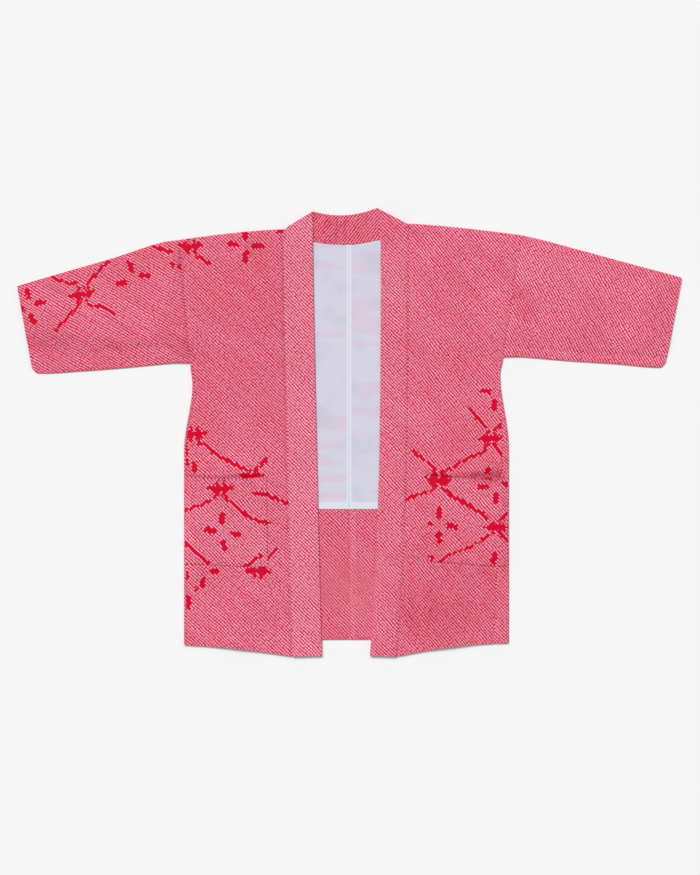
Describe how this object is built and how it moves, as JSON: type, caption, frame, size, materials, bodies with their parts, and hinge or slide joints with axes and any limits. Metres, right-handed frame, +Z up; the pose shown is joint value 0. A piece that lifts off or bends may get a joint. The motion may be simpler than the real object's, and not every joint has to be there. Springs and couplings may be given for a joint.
{
  "type": "haori jacket",
  "caption": "Open-fronted hip-length haori of dotted tie-dyed silk, laid out flat with its front up, with a doubled collar band, tube sleeves and patch pockets.",
  "frame": {"origin": "middle of the outline, on the surface that the garment lies on", "axes": "+X towards the wearer's left sleeve, +Y towards the collar, +Z up out of the garment's front"},
  "size_m": [1.2768, 0.8604, 0.009],
  "materials": {
    "dotted_silk": "tie-dyed silk crepe, red with close rows of small pale dots, soft sheen",
    "lining_silk": "smooth pale lilac silk with faint pink and grey shading"
  },
  "bodies": {
    "root": {"back_right": "dotted_silk", "lining_right": "lining_silk", "front_right": "dotted_silk", "gore_right": "dotted_silk", "sleeve_right": "dotted_silk", "pocket_right": "dotted_silk", "collar_front_right": "dotted_silk", "back_left": "dotted_silk", "lining_left": "lining_silk", "front_left": "dotted_silk", "gore_left": "dotted_silk", "sleeve_left": "dotted_silk", "pocket_left": "dotted_silk", "collar_front_left": "dotted_silk", "collar_neck": "dotted_silk"}
  },
  "joints": []
}
